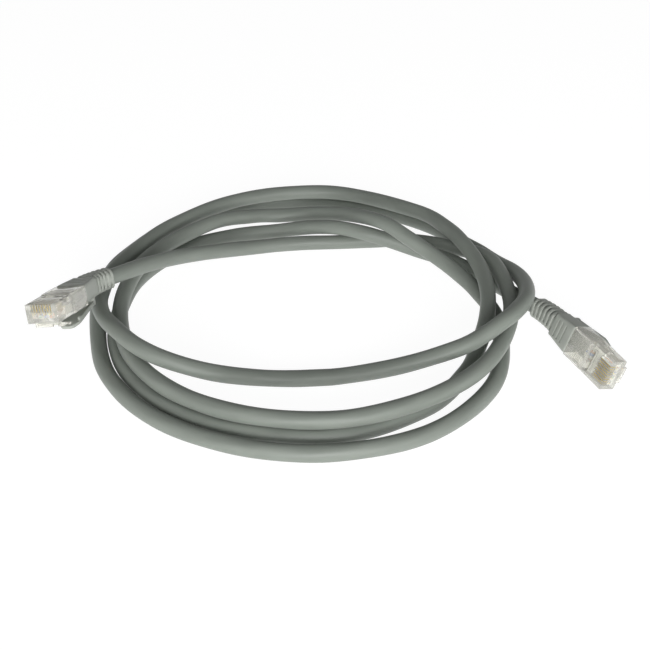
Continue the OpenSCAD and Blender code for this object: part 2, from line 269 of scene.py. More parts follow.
def place(end):
    """The matrix that carries a plug's own millimetres to its place, in metres."""
    matrix = Matrix.Scale(MM, 4) @ Matrix.Translation(Vector(end["start"]) + BASE_SHIFT)
    for name, axis in (("turn", "Z"), ("pitch", "X"), ("roll", "Y")):
        matrix = matrix @ Matrix.Rotation(math.radians(end[name]), 4, axis)
    return matrix


def on_tail(end, s, length):
    """The matrix that carries a section at y = 0 to the bent tail, s mm from the collar."""
    facing = math.radians(end["facing"])
    r = length / math.radians(end["bend"])
    return (
        Matrix.Translation((0, TAIL_END, 0))
        @ Matrix.Rotation(-facing, 4, "Y")
        @ Matrix.Translation((r, 0, 0))
        @ Matrix.Rotation(s / r, 4, "Z")
        @ Matrix.Translation((-r, 0, 0))
        @ Matrix.Rotation(facing, 4, "Y")
    )


def line_stations(tail):
    """The stations of the centre line from plug to plug, in metres."""
    def in_plug(end):
        matrix = place(end)
        straight = [matrix @ Vector((0, y, 0)) for y in JACKET_STATIONS]
        bent = [matrix @ on_tail(end, tail * k / TAIL_STEPS, tail) @ Vector((0, 0, 0))
                for k in range(TAIL_STEPS + 1)]
        return straight + bent

    outside = []
    for angle, radius, height in ROUTE:
        t = math.radians(angle)
        station = Vector((-radius * math.cos(t), radius * math.sin(t), height))
        outside.append((station + BASE_SHIFT) * MM)
    return in_plug(LEFT) + outside + in_plug(RIGHT)[::-1]


def through(points, steps):
    """A smooth line through the stations, with the station number of each of its points."""
    fine, numbers = [], []
    for k in range(len(points) - 1):
        a, b = points[max(k - 1, 0)], points[k]
        c, d = points[k + 1], points[min(k + 2, len(points) - 1)]
        for j in range(steps):
            t = j / steps
            p = 0.5 * (2 * b + (c - a) * t + (2 * a - 5 * b + 4 * c - d) * t * t
                       + (3 * b - a - 3 * c + d) * t ** 3)
            # the cable never sinks below its neighbouring stations
            p.z = max(p.z, min(b.z, c.z))
            fine.append(p)
            numbers.append(k + t)
    fine.append(points[-1].copy())
    numbers.append(len(points) - 1)
    return fine, numbers


def length_of(points):
    """The length of a line."""
    return sum((b - a).length for a, b in zip(points, points[1:]))


def evened(points, numbers, step):
    """The line again, with its points the same distance apart."""
    whole = length_of(points)
    count = max(2, round(whole / step))
    gap = whole / count
    line, marks, walked, k = [points[0].copy()], [numbers[0]], 0.0, 0
    for n in range(1, count):
        want = n * gap
        while True:
            piece = (points[k + 1] - points[k]).length
            if walked + piece >= want:
                break
            walked += piece
            k += 1
        f = (want - walked) / piece
        line.append(points[k].lerp(points[k + 1], f))
        marks.append(numbers[k] + f * (numbers[k + 1] - numbers[k]))
    return line + [points[-1].copy()], marks + [numbers[-1]]


def frames(points, numbers, stations):
    """Across and up at each point, rolled evenly from the left plug to the right one."""
    found = []
    first, last = LEFT["roll"], 180 - RIGHT["roll"]
    inside = len(JACKET_STATIONS) + 1
    for k, number in enumerate(numbers):
        t = (points[min(k + 1, len(points) - 1)] - points[max(k - 1, 0)]).normalized()
        u = t.cross(Vector((0, 0, 1))).normalized()
        v = u.cross(t)
        f = (number - inside) / (stations - 1 - 2 * inside)
        roll = math.radians(first + (last - first) * min(1, max(0, f)))
        a = math.cos(roll) * u + math.sin(roll) * v
        found.append((a, a.cross(t)))
    return found


def jacket_line(boot):
    """The jacket's centre line, evenly spaced, with its frames."""
    stations = line_stations(boot.tail_length / MM)
    fine, numbers = through(stations, LINE_STEPS)
    line, marks = evened(fine, numbers, LINE_GAP * MM)
    return line, frames(line, marks, len(stations))


def every_other(items):
    """Every other item, with the first and the last."""
    return items[:-1:2] + items[-1:]


def wire_line(pin, plug, boot):
    """One wire's centre line from the contacts of one plug to those of the other."""
    x = (pin - MIDDLE_PIN) * plug.pitch / MM
    z = ROW_HEIGHT[(pin + 1) % 2]
    across, up = LAY[pin - 1]

    def fan(end, side):
        # out of the guide's bore and in to its place in the jacket
        points = [(x, y, z) for y in (WIRE_TIP, GUIDE_FRONT, GUIDE_REAR)]
        for k in range(1, FAN_STEPS):
            f = k / FAN_STEPS
            w = f * f * (3 - 2 * f)
            points.append((x + (-across - x) * w, GUIDE_REAR + (JACKET_END - GUIDE_REAR) * f,
                           z + (side * up - z) * w))
        matrix = place(end)
        return [matrix @ Vector(p) for p in points]

    line, turned = jacket_line(boot)
    middle = [c + (across * a + up * b) * MM for c, (a, b) in zip(line, turned)]
    return fan(LEFT, 1) + every_other(middle) + fan(RIGHT, -1)[::-1]


# ---------------------------------------------------------------- making solids


def block(bm, x, y, z):
    """A box between the limits x, y and z."""
    v = [bm.verts.new((x[i], y[j], z[k])) for i in (0, 1) for j in (0, 1) for k in (0, 1)]
    for f in ((0, 1, 3, 2), (4, 6, 7, 5), (0, 4, 5, 1), (2, 3, 7, 6), (0, 2, 6, 4), (1, 5, 7, 3)):
        bm.faces.new([v[i] for i in f])


def drawn(bm, outline, low, high, axis):
    """A flat outline drawn out along z, or along x for a side outline in y and z."""
    put = (lambda p, w: (p[0], p[1], w)) if axis == "Z" else (lambda p, w: (w, p[0], p[1]))
    bottom = [bm.verts.new(put(p, low)) for p in outline]
    top = [bm.verts.new(put(p, high)) for p in outline]
    n = len(outline)
    bm.faces.new(bottom[::-1])
    bm.faces.new(top)
    for k in range(n):
        bm.faces.new((bottom[k], bottom[(k + 1) % n], top[(k + 1) % n], top[k]))


def pin_across(bm, y, z, radius, width, sides):
    """A round pin along x."""
    ring = [(y + radius * math.cos(2 * math.pi * k / sides),
             z + radius * math.sin(2 * math.pi * k / sides)) for k in range(sides)]
    drawn(bm, ring, -width / 2, width / 2, "X")


def lofted(bm, rings, closed):
    """Joins rings to a skin that runs back into itself, or has a flat cap at each end."""
    made = [[bm.verts.new(p) for p in ring] for ring in rings]
    n = len(rings[0])
    pairs = list(zip(made, made[1:]))
    if closed:
        pairs.append((made[-1], made[0]))
    for here, there in pairs:
        for j in range(n):
            i = (j + 1) % n
            bm.faces.new((here[j], here[i], there[i], there[j]))
    if not closed:
        bm.faces.new(made[0][::-1])
        bm.faces.new(made[-1])


def solid(*steps):
    """A new bmesh with the given making steps run on it."""
    bm = bmesh.new()
    for step in steps:
        step(bm)
    bmesh.ops.recalc_face_normals(bm, faces=bm.faces)
    return bm


def eased(step, width, segments=2):
    """A new bmesh with every sharp edge rounded."""
    bm = solid(step)
    sharp = [e for e in bm.edges if e.is_manifold and e.calc_face_angle(0) > SHARP_ANGLE]
    bmesh.ops.bevel(bm, geom=sharp, offset=width, offset_type="OFFSET", segments=segments,
                    profile=0.5, affect="EDGES", clamp_overlap=True)
    return bm


def linked(name, data):
    """A new object in the scene, at the origin."""
    made = bpy.data.objects.new(name, data)
    bpy.context.scene.collection.objects.link(made)
    return made


def as_object(name, bm):
    """Puts a bmesh in the scene as an object."""
    mesh = bpy.data.meshes.new(name)
    bm.to_mesh(mesh)
    bm.free()
    return linked(name, mesh)


def settled(thing):
    """Turns an object with modifiers into a plain mesh of the same name."""
    bpy.context.view_layer.update()
    seen = thing.evaluated_get(bpy.context.evaluated_depsgraph_get())
    mesh = bpy.data.meshes.new_from_object(seen)
    thing.modifiers.clear()
    old = thing.data
    thing.data = mesh
    bpy.data.meshes.remove(old)
    mesh.name = thing.name
    if not len(mesh.polygons):
        raise RuntimeError(thing.name + " came out empty")
    return thing


def dropped(thing):
    """Removes a helper object with its data."""
    data = thing.data
    bpy.data.objects.remove(thing)
    store = bpy.data.curves if isinstance(data, bpy.types.Curve) else bpy.data.meshes
    store.remove(data)


def cut_and_joined(base, joins=(), cuts=()):
    """The base with other solids joined to it and then cut from it."""
    tools = []
    for kind, group in (("UNION", joins), ("DIFFERENCE", cuts)):
        for k, bm in enumerate(group):
            tool = as_object(f"{base.name}.{kind}.{k}", bm)
            tools.append(tool)
            step = base.modifiers.new(tool.name, "BOOLEAN")
            step.operation = kind
            step.solver = "EXACT"
            step.object = tool
            step.use_self = kind == "DIFFERENCE"
    settled(base)
    for tool in tools:
        dropped(tool)
    return base


def smooth(thing, degrees=30):
    """Smooth shading, with the edges past this angle kept sharp."""
    mesh = thing.data
    mesh.polygons.foreach_set("use_smooth", [True] * len(mesh.polygons))
    mesh.set_sharp_from_angle(angle=math.radians(degrees))
    mesh.update()


def dressed(thing, *finishes):
    """Gives a piece its finishes in place of any it has."""
    thing.data.materials.clear()
    for finish in finishes:
        thing.data.materials.append(finish)


def fitted(thing, matrix, body, node):
    """Carries a piece to its place and puts it on its body in the solid's stead."""
    thing.data.transform(matrix)
    thing.data.update()
    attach(thing, body)
    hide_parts(node)


# ---------------------------------------------------------------- node trees


class Nodes:
    """Adds and links nodes of one tree, left to right."""

    def __init__(self, tree):
        self.tree = tree
        self.column = 0

    def add(self, kind, values=None, **settings):
        """A node with its settings, and its inputs linked or set."""
        node = self.tree.nodes.new(kind)
        self.column += 1
        node.location = (180 * self.column, 0)
        for key, value in settings.items():
            setattr(node, key, value)
        for key, value in (values or {}).items():
            if hasattr(value, "is_output"):
                self.link(value, node.inputs[key])
            else:
                node.inputs[key].default_value = value
        return node

    def maths(self, operation, *values):
        """The outcome of one sum."""
        return self.add("ShaderNodeMath", dict(enumerate(values)), operation=operation).outputs[0]

    def mix(self, kind, share, a, b):
        """Two numbers (FLOAT) or two colours (RGBA) mixed by a share."""
        first, out = (2, 0) if kind == "FLOAT" else (6, 2)
        mixed = self.add("ShaderNodeMix", {0: share, first: a, first + 1: b}, data_type=kind)
        return mixed.outputs[out]

    def carried(self, geometry, name, value):
        """A line that carries a value on its points, and that value."""
        kept = self.add("GeometryNodeCaptureAttribute", {"Geometry": geometry})
        kept.capture_items.new("FLOAT", name)
        self.link(value, kept.inputs[name])
        return kept.outputs["Geometry"], kept.outputs[name]

    def link(self, a, b):
        self.tree.links.new(a, b)


def new_tree(kind, name, inputs, outputs):
    """A tree or group with its named sockets, the adder of its nodes and its inputs."""
    tree = bpy.data.node_groups.new(name, kind)
    for title, socket, *default in inputs:
        made = tree.interface.new_socket(
            name=title, in_out="INPUT", socket_type="NodeSocket" + socket)
        if default:
            made.default_value = default[0]
    for title, socket in outputs:
        tree.interface.new_socket(
            name=title, in_out="OUTPUT", socket_type="NodeSocket" + socket)
    n = Nodes(tree)
    return tree, n, n.add("NodeGroupInput").outputs


def shared_tree(name, build):
    """A tree or group that is built once."""
    return bpy.data.node_groups.get(name) or build(name)


def real_and_dressed(n, geometry, finish):
    """Ends a geometry tree with real meshes and their finish."""
    real = n.add("GeometryNodeRealizeInstances", {"Geometry": geometry})
    done = n.add("GeometryNodeSetMaterial",
                 {"Geometry": real.outputs["Geometry"], "Material": finish})
    n.add("NodeGroupOutput", {"Geometry": done.outputs["Geometry"]})


def sheath_tree(name):
    """A round sheath along a line, with the ripple of the pairs and the way round stored."""
    tree, n, given = new_tree("GeometryNodeTree", name, (
        ("Geometry", "Geometry"), ("Line", "Object"), ("Radius", "Float", 0.003),
        ("Sides", "Int", 24), ("Closed Ends", "Bool", False), ("Ripple", "Float", 0.0),
        ("Lay Length", "Float", 0.1), ("Finish", "Material")), [("Geometry", "Geometry")])
    line = n.add("GeometryNodeObjectInfo", {"Object": given["Line"]}, transform_space="ORIGINAL")
    path, along = n.carried(line.outputs["Geometry"], "Along",
                            n.add("GeometryNodeSplineParameter").outputs["Length"])
    circle = n.add("GeometryNodeCurvePrimitiveCircle",
                   {"Resolution": given["Sides"], "Radius": given["Radius"]})
    profile, share = n.carried(circle.outputs["Curve"], "Share",
                               n.add("GeometryNodeSplineParameter").outputs["Factor"])
    tube = n.add("GeometryNodeCurveToMesh", {
        "Curve": path, "Profile Curve": profile, "Fill Caps": given["Closed Ends"]})
    angle = n.maths("MULTIPLY", share, 2 * math.pi)
    # The four pairs turn slowly round the cable and bulge the sheath a little.
    turns = n.maths("DIVIDE", along, given["Lay Length"])
    wound = n.maths("MULTIPLY_ADD", turns, 2 * math.pi, angle)
    wave = n.maths("SINE", n.maths("MULTIPLY", wound, 4.0))
    push = n.add("ShaderNodeVectorMath", {
        0: n.add("GeometryNodeInputNormal").outputs[0],
        "Scale": n.maths("MULTIPLY", wave, given["Ripple"])}, operation="SCALE")
    moved = n.add("GeometryNodeSetPosition",
                  {"Geometry": tube.outputs["Mesh"], "Offset": push.outputs[0]})
    way = n.add("ShaderNodeCombineXYZ", {
        "X": n.maths("COSINE", angle), "Y": n.maths("SINE", angle), "Z": along})
    stored = n.add("GeometryNodeStoreNamedAttribute", {
        "Geometry": moved.outputs["Geometry"], "Name": "way_round"},
        data_type="FLOAT_VECTOR", domain="POINT")
    n.link(way.outputs[0], [s for s in stored.inputs if s.name == "Value" and s.enabled][0])
    shaded = n.add("GeometryNodeSetShadeSmooth", {"Geometry": stored.outputs["Geometry"]})
    real_and_dressed(n, shaded.outputs["Geometry"], given["Finish"])
    return tree


def contact_row_tree(name):
    """Eight blades in a row, the long and the short kind by turns."""
    tree, n, given = new_tree("GeometryNodeTree", name, (
        ("Geometry", "Geometry"), ("Short Blade", "Object"), ("Long Blade", "Object"),
        ("Pitch", "Float", 1.02), ("Pairs", "Int", 4), ("Finish", "Material")),
        [("Geometry", "Geometry")])
    gap = n.add("ShaderNodeCombineXYZ", {"X": n.maths("MULTIPLY", given["Pitch"], 2.0)})
    both = n.add("GeometryNodeJoinGeometry")
    for pin, kind in enumerate(("Short Blade", "Long Blade"), 1):
        start = n.add("ShaderNodeCombineXYZ", {
            "X": n.maths("MULTIPLY", given["Pitch"], pin - MIDDLE_PIN)})
        row = n.add("GeometryNodeMeshLine", {
            "Count": given["Pairs"], "Start Location": start.outputs[0],
            "Offset": gap.outputs[0]})
        blade = n.add("GeometryNodeObjectInfo", {"Object": given[kind]},
                      transform_space="ORIGINAL")
        blades = n.add("GeometryNodeInstanceOnPoints", {
            "Points": row.outputs["Mesh"], "Instance": blade.outputs["Geometry"]})
        n.link(blades.outputs["Instances"], both.inputs["Geometry"])
    real_and_dressed(n, both.outputs["Geometry"], given["Finish"])
    return tree


def grown(name, tree, values):
    """A plain mesh made by a tree with the given inputs."""
    host = linked(name, bpy.data.meshes.new(name))
    step = host.modifiers.new("grown", "NODES")
    step.node_group = tree
    for item in tree.interface.items_tree:
        if item.in_out == "INPUT" and item.name in values:
            step[item.identifier] = values[item.name]
    return settled(host)


def sheath(name, points, radius, sides, finish, more):
    """A round sheath along a line of points, as a plain mesh."""
    curve = bpy.data.curves.new(name + "_line", "CURVE")
    curve.dimensions = "3D"
    spline = curve.splines.new("POLY")
    spline.points.add(len(points) - 1)
    for k, p in enumerate(points):
        spline.points[k].co = (*p, 1)
    line = linked(name + "_line", curve)
    made = grown(name, shared_tree("sheath along a line", sheath_tree), {
        "Line": line, "Radius": radius, "Sides": sides, "Finish": finish, **more})
    dropped(line)
    return made


# ---------------------------------------------------------------- finishes


def grain_group(name):
    """Fine moulded grain: a height for bumps and a mask for colour and gloss."""
    tree, n, given = new_tree("ShaderNodeTree", name, (
        ("Vector", "Vector"), ("Scale", "Float", 2000.0), ("Coarse Share", "Float", 0.5)),
        (("Height", "Float"), ("Mask", "Float")))
    fine = n.add("ShaderNodeTexNoise", {
        "Vector": given["Vector"], "Scale": given["Scale"], "Detail": 3.0, "Roughness": 0.6})
    wide = n.add("ShaderNodeTexNoise", {
        "Vector": given["Vector"], "Scale": n.maths("MULTIPLY", given["Scale"], 0.12),
        "Detail": 2.0})
    spread = n.add("ShaderNodeMapRange", {
        "Value": wide.outputs[0], "From Min": 0.3, "From Max": 0.7})
    n.add("NodeGroupOutput", {
        "Height": n.mix("FLOAT", given["Coarse Share"], fine.outputs[0], wide.outputs[0]),
        "Mask": spread.outputs[0]})
    return tree


def tone_group(name):
    """Two close tones, and two close degrees of gloss, mixed by one mask."""
    tree, n, given = new_tree("ShaderNodeTree", name, (
        ("Mask", "Float", 0.5), ("Tone A", "Color", (0.2, 0.2, 0.2, 1)),
        ("Tone B", "Color", (0.2, 0.2, 0.2, 1)), ("Gloss A", "Float", 0.4),
        ("Gloss B", "Float", 0.5)), (("Colour", "Color"), ("Roughness", "Float")))
    n.add("NodeGroupOutput", {
        "Colour": n.mix("RGBA", given["Mask"], given["Tone A"], given["Tone B"]),
        "Roughness": n.mix("FLOAT", given["Mask"], given["Gloss A"], given["Gloss B"])})
    return tree


def stripe_group(name):
    """A stripe wound along a wire: 1 on the stripe and 0 beside it."""
    tree, n, given = new_tree("ShaderNodeTree", name, (
        ("Way Round", "Vector"), ("Turns Per Metre", "Float", 60.0),
        ("Width", "Float", 0.35)), [("Stripe", "Float")])
    parts = n.add("ShaderNodeSeparateXYZ", {0: given["Way Round"]}).outputs
    angle = n.maths("ARCTAN2", parts[1], parts[0])
    rate = n.maths("MULTIPLY", given["Turns Per Metre"], 2 * math.pi)
    wave = n.maths("COSINE", n.maths("MULTIPLY_ADD", parts[2], rate, angle))
    low = n.maths("SUBTRACT", 1.0, given["Width"])
    soft_edge = 0.12
    mask = n.add("ShaderNodeMapRange", {
        "Value": wave, "From Min": low, "From Max": n.maths("ADD", low, soft_edge)})
    n.add("NodeGroupOutput", {"Stripe": mask.outputs[0]})
    return tree


def new_finish(name, fixed):
    """A material with a Principled shader, and the adder of its nodes."""
    made = bpy.data.materials.new(name)
    made.use_nodes = True
    shader = made.node_tree.nodes["Principled BSDF"]
    for key, value in fixed.items():
        shader.inputs[key].default_value = value
    return made, shader, Nodes(made.node_tree)


def toned(tint, factor=1.0):
    """A tint as four numbers, made lighter or darker."""
    return (*(min(1, c * factor) for c in tint), 1)


def way_round(n):
    """The stored way round a cord: cosine, sine and metres along."""
    return n.add("ShaderNodeAttribute", attribute_name="way_round").outputs["Vector"]


def moulded(name, tint, tones, gloss, scale, bump, coarse=0.5, stretch=None, stripe=None,
            fixed=None):
    """A finish in two close tones of a tint, with the shared grain, made once.

    The grain of a cord follows its way round and is stretched, across and along. The
    shader's fixed values are given by the names of its inputs."""
    if name in bpy.data.materials:
        return bpy.data.materials[name]
    made, shader, n = new_finish(name, fixed or {})
    if stretch is None:
        vector = n.add("ShaderNodeTexCoord").outputs["Object"]
    else:
        across, along = stretch
        vector = n.add("ShaderNodeVectorMath", {
            0: way_round(n), 1: (across, across, along)}, operation="MULTIPLY").outputs[0]
    grain = n.add("ShaderNodeGroup", {"Vector": vector, "Scale": scale, "Coarse Share": coarse},
                  node_tree=shared_tree("moulded grain", grain_group))
    tone = n.add("ShaderNodeGroup", {
        "Mask": grain.outputs["Mask"], "Tone A": toned(tint, tones[0]),
        "Tone B": toned(tint, tones[1]), "Gloss A": gloss[0], "Gloss B": gloss[1]},
        node_tree=shared_tree("two tones", tone_group))
    raised = n.add("ShaderNodeBump", {
        "Strength": bump[0], "Distance": bump[1], "Height": grain.outputs["Height"]})
    ground = tone.outputs["Colour"]
    if stripe is not None:
        wound = n.add("ShaderNodeGroup", {
            "Way Round": way_round(n), "Turns Per Metre": 45, "Width": 0.5},
            node_tree=shared_tree("wound stripe", stripe_group))
        ground = n.mix("RGBA", wound.outputs["Stripe"], ground, toned(stripe))
    n.link(ground, shader.inputs["Base Color"])
    n.link(tone.outputs["Roughness"], shader.inputs["Roughness"])
    n.link(raised.outputs[0], shader.inputs["Normal"])
    return made


def jacket_finish(colours):
    """Matt grey vinyl with faint drawn streaks along the cable."""
    return moulded(
        "grey jacket vinyl", colours.jacket, tones=(0.93, 1.06), gloss=(0.46, 0.58),
        scale=2600, bump=(0.22, 0.0002), stretch=(0.003, 0.25),
        fixed={"IOR": 1.5, "Specular IOR Level": 0.42, "Sheen Weight": 0.05})


def boot_finish(colours):
    """Satin grey vinyl of the boots and covers."""
    return moulded(
        "grey boot vinyl", colours.boot, tones=(0.94, 1.05), gloss=(0.42, 0.55),
        scale=2400, bump=(0.18, 0.0002), fixed={"IOR": 1.5, "Specular IOR Level": 0.45})


def clear_finish(colours):
    """Clear polycarbonate with faint flow marks and a slight milky haze."""
    return moulded(
        "clear polycarbonate", colours.clear, tones=(1, 0.985), gloss=(0.03, 0.09),
        scale=900, bump=(0.08, 0.0002), coarse=0.8,
        fixed={"IOR": 1.45, "Transmission Weight": 0.77, "Specular IOR Level": 0.5})


def guide_finish(colours):
    """Frosted plastic of the wire guides."""
    return moulded(
        "frosted guide plastic", colours.guide, tones=(0.97, 1), gloss=(0.28, 0.4),
        scale=1500, bump=(0.1, 0.0002), fixed={"IOR": 1.5, "Transmission Weight": 0.1})


def gold_finish(colours):
    """Gold plating over stamped blades."""
    return moulded(
        "gold plating", colours.gold, tones=(0.94, 1.04), gloss=(0.2, 0.34),
        scale=3000, bump=(0.12, 0.0001), fixed={"Metallic": 1.0})


def copper_finish(colours):
    """Bare cut copper."""
    return moulded(
        "bare copper", colours.copper, tones=(0.9, 1.05), gloss=(0.25, 0.42),
        scale=6000, bump=(0.2, 0.0001), fixed={"Metallic": 1.0})


def separator_finish(colours):
    """Natural milky plastic of the cross separator."""
    return moulded(
        "milky separator plastic", colours.separator, tones=(0.95, 1.03), gloss=(0.4, 0.52),
        scale=1800, bump=(0.12, 0.0002), fixed={"IOR": 1.5})


def insulation_finish(slot, colours):
    """Coloured insulation, plain or with a wound stripe of the second colour."""
    ground, *stripe = (getattr(colours, word) for word in slot.split("_"))
    return moulded(
        slot.replace("_", " ") + " insulation", ground, tones=(0.94, 1.03),
        gloss=(0.34, 0.46), scale=3000, bump=(0.1, 0.0001), stretch=(0.00045, 1.0),
        stripe=stripe[0] if stripe else None, fixed={"IOR": 1.5})


def seen_directly(n):
    """1 for what the camera sees straight, in gloss or through clear plastic."""
    path = n.add("ShaderNodeLightPath").outputs
    gloss = n.maths("MAXIMUM", path["Is Camera Ray"], path["Is Glossy Ray"])
    return n.maths("MAXIMUM", gloss, path["Is Transmission Ray"])


def table_finish():
    """A white table with a glow of its own, which is weaker where it is seen directly."""
    made, shader, n = new_finish("white table", {
        "Base Color": (0.86, 0.86, 0.86, 1), "Roughness": 0.9, "Specular IOR Level": 0.2})
    glow = n.add("ShaderNodeEmission", {"Color": (1, 1, 1, 1), "Strength": 1.16})
    share = n.maths("MULTIPLY_ADD", seen_directly(n), -0.2, 1.0)
    mixed = n.add("ShaderNodeMixShader", {
        0: share, 1: shader.outputs[0], 2: glow.outputs[0]})
    n.link(mixed.outputs[0], made.node_tree.nodes["Material Output"].inputs["Surface"])
    return made


# ---------------------------------------------------------------- the pieces

# Sizes of the mouldings that have no setting of their own, mm. A groove is placed by its
# front end. The gap before a rib is a share of a step, and a rib's flats of its radius. An
# eased edge is a list of distances from the edge, each with how far the section is inset.
BOOT_SIDES = 64
BORE_STEPS = 12
BORE_RADIUS = 3.17
CORE_RADIUS = 3.6
TAIL_ROOT_RADIUS = 3.7
TAIL_ROOT_LENGTH = 0.5
COLLAR_CORNERS = (1, 2.4)
COLLAR_FRONT_EDGE = ((0, 0.3), (0.09, 0.09), (0.3, 0))
COLLAR_REAR_EDGE = ((0, 0.25), (0.07, 0.07), (0.25, 0))
RIB_EDGE = ((0, 0.16), (0.05, 0.05), (0.16, 0))
GROOVES = (20.2, 18.1, 16.0)
GROOVE_WIDTH = 0.8
GROOVE_DEPTH = 0.35
GROOVE_SLOPE = 0.04
GROOVE_HALF_LENGTH = 3.45
RIB_GAP = 0.45
RIB_FLAT = 0.86
COVER_HALF_WIDTH = 3.7
COVER_ROOT_RADIUS = 0.7
COVER_THICKNESS = 1.1
CHEEK_WIDTH = 0.8
LATCH_ROOT_RADIUS = 0.55
LATCH_THICKNESS = 0.9
RUN_GAP = 0.05


def boot_angles(high):
    """The ways round a boot section, closer together at the ends of the grip grooves."""
    even = [2 * math.pi * k / BOOT_SIDES for k in range(BOOT_SIDES)]
    ends = [math.atan2(high, side * x)
            for x in (GROOVE_HALF_LENGTH - 0.05, GROOVE_HALF_LENGTH + 0.07) for side in (1, -1)]
    return sorted(even + ends)


def round_section(radius, angles, flat=math.inf):
    """A circle seen from its centre, or one with four flats this far out."""
    points = []
    for t in angles:
        c, s = math.cos(t), math.sin(t)
        r = min(radius, flat / (abs(c) + TINY), flat / (abs(s) + TINY))
        points.append((r * c, r * s))
    return points


def collar_section(a, b, corners, angles):
    """A rounded rectangle seen from its centre, with a corner for each of its two sides."""
    points = []
    for t in angles:
        c, s = abs(math.cos(t)) + TINY, abs(math.sin(t)) + TINY
        corner = corners[0] if math.sin(t) > 0 else corners[1]
        r = min(a / c, b / s)
        if r * c > a - corner and r * s > b - corner:
            # where the ray meets the corner's round
            p, q = a - corner, b - corner
            along = p * c + q * s
            r = along + math.sqrt(max(0, along * along - (p * p + q * q - corner ** 2)))
        points.append((r * math.cos(t), r * math.sin(t)))
    return points


def boot_rings(end, sizes):
    """All the rings of a boot, from the collar's front round to its bore."""
    wide, high = sizes.collar_width / MM / 2, sizes.collar_height / MM / 2
    first, last = sizes.first_rib / MM / 2, sizes.last_rib / MM / 2
    tail, count = sizes.tail_length / MM, sizes.ribs
    angles = boot_angles(high)
    core, bore = round_section(CORE_RADIUS, angles), round_section(BORE_RADIUS, angles)
    rings = []

    def collar(y, inset=0.0, groove=False):
        # the collar widens from 1 mm off the tail to 1 mm off its own front
        f = min(1, max(0, (y - TAIL_END - 1) / (COLLAR_FRONT - 2 - TAIL_END)))
        a = first + (wide - first) * f - inset
        section = collar_section(a, high - inset, [c - inset for c in COLLAR_CORNERS], angles)
        if groove:
            floor = high - GROOVE_DEPTH
            section = [(x, min(z, floor) if abs(x) < GROOVE_HALF_LENGTH and z > 0 else z)
                       for x, z in section]
        rings.append([Vector((x, y, z)) for x, z in section])

    def tail_ring(s, section):
        matrix = on_tail(end, s, tail)
        rings.append([matrix @ Vector((x, 0, z)) for x, z in section])

    for back, inset in (*COLLAR_FRONT_EDGE, (1, 0)):
        collar(COLLAR_FRONT - back, inset)
    for y in GROOVES:
        collar(y + GROOVE_SLOPE)
        collar(y - GROOVE_SLOPE, groove=True)
        collar(y - GROOVE_WIDTH + GROOVE_SLOPE, groove=True)
        collar(y - GROOVE_WIDTH - GROOVE_SLOPE)
    for ahead, inset in ((1, 0), *COLLAR_REAR_EDGE[::-1]):
        collar(TAIL_END + ahead, inset)

    for s in (0, TAIL_ROOT_LENGTH):
        tail_ring(s, round_section(TAIL_ROOT_RADIUS, angles))
    tail_ring(TAIL_ROOT_LENGTH + 0.05, core)
    step = tail / count
    for k in range(count):
        r = first + (last - first) * k / (count - 1)
        low, top = (k + RIB_GAP) * step, (k + 1) * step
        edges = [(low + d, inset) for d, inset in RIB_EDGE]
        edges += [(top - d, inset) for d, inset in RIB_EDGE[::-1]]
        tail_ring(low, core)
        for s, inset in edges:
            tail_ring(s, round_section(r - inset, angles, RIB_FLAT * r - inset))
        if k < count - 1:
            tail_ring(top, core)
    for k in range(BORE_STEPS, -1, -1):
        tail_ring(tail * k / BORE_STEPS, bore)
    for y in (16, 20, COLLAR_FRONT):
        rings.append([Vector((x, y, z)) for x, z in bore])
    return rings


def boot_seat(bm):
    """The block under the collar with the hollow that the cover's root turns in."""
    rear, top, floor, chamfer = 14.2, -3.3, -6.2, 0.25
    _, y, z = COVER_PIVOT
    r = COVER_ROOT_RADIUS + RUN_GAP
    hollow = [(y - r * math.sin(math.radians(a)), z + r * math.cos(math.radians(a)))
              for a in range(180, -1, -15)]
    outline = [(rear, top), (rear, floor + chamfer), (rear + chamfer, floor), (y, floor),
               *hollow, (y, top)]
    drawn(bm, outline, -COVER_HALF_WIDTH, COVER_HALF_WIDTH, "X")


def make_boot(side, sizes, finish):
    """One ribbed boot with its collar and the seat of its latch cover."""
    rings = boot_rings(ENDS[side], sizes)
    boot = as_object(side + "_boot_moulding", solid(lambda b: lofted(b, rings, True), boot_seat))
    smooth(boot, 34)
    dressed(boot, finish)
    fitted(boot, place(ENDS[side]), "cable", side + "_boot")


def cover_outline():
    """The latch cover seen from below: straight sides and a rounded tongue."""
    half = [(COVER_HALF_WIDTH, 0.0), (COVER_HALF_WIDTH, 12.2), (3.42, 13.3), (3.0, 14.2),
            (2.62, 15.1), (2.0, 15.75), (1.2, 16.0)]
    return half + [(-x, y) for x, y in half[::-1]]


